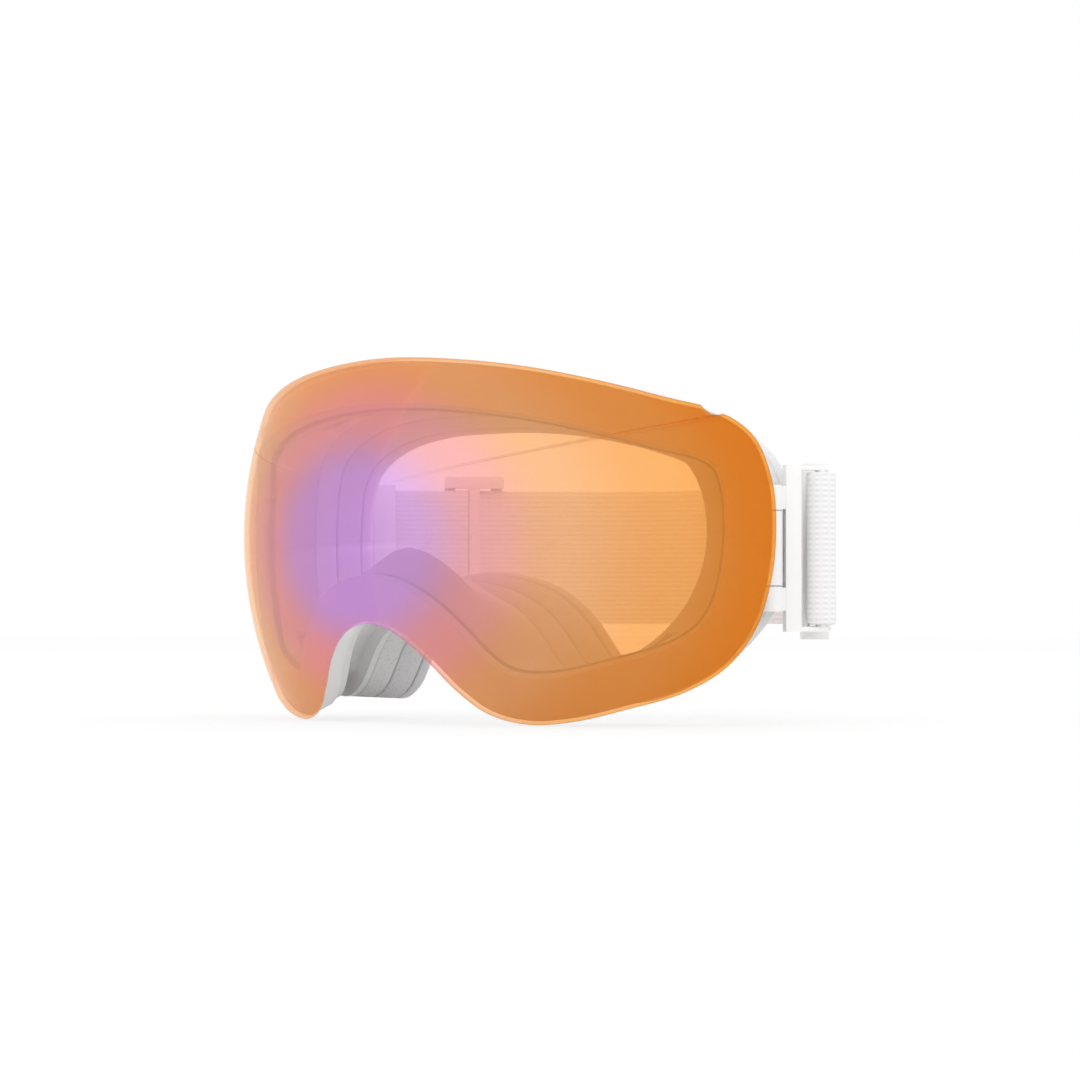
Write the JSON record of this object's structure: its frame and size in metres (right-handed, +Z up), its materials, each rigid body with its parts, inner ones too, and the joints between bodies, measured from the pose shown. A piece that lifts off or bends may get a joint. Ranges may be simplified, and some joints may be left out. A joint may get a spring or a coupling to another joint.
{
  "type": "ski goggles",
  "caption": "Frameless ski goggles with a large spherical double lens, vented flexible frame, layered face foam, hinged outriggers and an adjustable elastic strap",
  "frame": {"origin": "centre of the bounding box's base: the goggles stand upright on the lens's two lower lobes and the foam's cheek edges", "axes": "+Z up, -Y the way the wearer looks, +X the wearer's left"},
  "size_m": [0.1852, 0.1402, 0.0905],
  "materials": {
    "lens": "orange tinted polycarbonate with a rose and violet mirror coating",
    "inner_lens": "lightly tinted acetate, clear gloss",
    "spacer_foam": "die-cut closed-cell foam",
    "carrier": "moulded nylon, satin",
    "frame": "moulded soft TPU, satin white",
    "base_foam": "open-cell foam, light grey",
    "face_foam": "open-cell foam, grey",
    "fleece": "brushed fleece on foam",
    "plastic": "moulded acetal, satin white",
    "webbing": "woven elastic webbing, white",
    "steel": "nickel plated"
  },
  "bodies": {
    "frame": {"frame": "frame", "vent_foam_top": "face_foam", "vent_foam_left": "face_foam", "vent_foam_right": "face_foam", "foam_base": "base_foam", "foam_middle": "face_foam", "foam_face": "fleece", "strap_back": "webbing", "hinge_pin_left": "steel", "hinge_pin_right": "steel", "magnet_1": "steel", "magnet_2": "steel", "magnet_3": "steel", "magnet_4": "steel", "magnet_5": "steel", "magnet_6": "steel"},
    "lens": {"outer_lens": "lens", "inner_lens": "inner_lens", "lens_spacer": "spacer_foam", "lens_carrier": "carrier", "steel_disc_1": "steel", "steel_disc_2": "steel", "steel_disc_3": "steel", "steel_disc_4": "steel", "steel_disc_5": "steel", "steel_disc_6": "steel"},
    "outrigger_left": {"outrigger_left": "plastic", "strap_loop_left": "webbing", "strap_tail_left": "webbing"},
    "keeper_left": {"strap_keeper_left": "plastic"},
    "slider_left": {"slider_left": "plastic"},
    "outrigger_right": {"outrigger_right": "plastic", "strap_loop_right": "webbing", "strap_tail_right": "webbing"},
    "keeper_right": {"strap_keeper_right": "plastic"},
    "slider_right": {"slider_right": "plastic"}
  },
  "joints": [
    {"name": "lens_pull", "type": "slide", "parent": "frame", "child": "lens", "axis": [0, -1, 0], "range_m": [0, 0.03]},
    {"name": "outrigger_left_swing", "type": "hinge", "parent": "frame", "child": "outrigger_left", "pos_m": [0.0815, -0.01064, 0.04287], "axis": [0, 0, 1], "range_deg": [-20, 0], "deforming": ["strap_back", "strap_tail_left"]},
    {"name": "keeper_left_slide", "type": "slide", "parent": "outrigger_left", "child": "keeper_left", "axis": [-0.66, 0.7513, 0], "range_m": [0, 0.008], "deforming": ["strap_back", "strap_tail_left"]},
    {"name": "slider_left_slide", "type": "slide", "parent": "outrigger_left", "child": "slider_left", "axis": [-0.66, 0.7513, 0], "range_m": [0, 0.015], "deforming": ["strap_back", "strap_tail_left"]},
    {"name": "outrigger_right_swing", "type": "hinge", "parent": "frame", "child": "outrigger_right", "pos_m": [-0.0815, -0.01064, 0.04287], "axis": [0, 0, 1], "range_deg": [0, 20], "deforming": ["strap_back", "strap_tail_right"]},
    {"name": "keeper_right_slide", "type": "slide", "parent": "outrigger_right", "child": "keeper_right", "axis": [0.66, 0.7513, 0], "range_m": [0, 0.008], "deforming": ["strap_back", "strap_tail_right"]},
    {"name": "slider_right_slide", "type": "slide", "parent": "outrigger_right", "child": "slider_right", "axis": [0.66, 0.7513, 0], "range_m": [0, 0.015], "deforming": ["strap_back", "strap_tail_right"]}
  ]
}
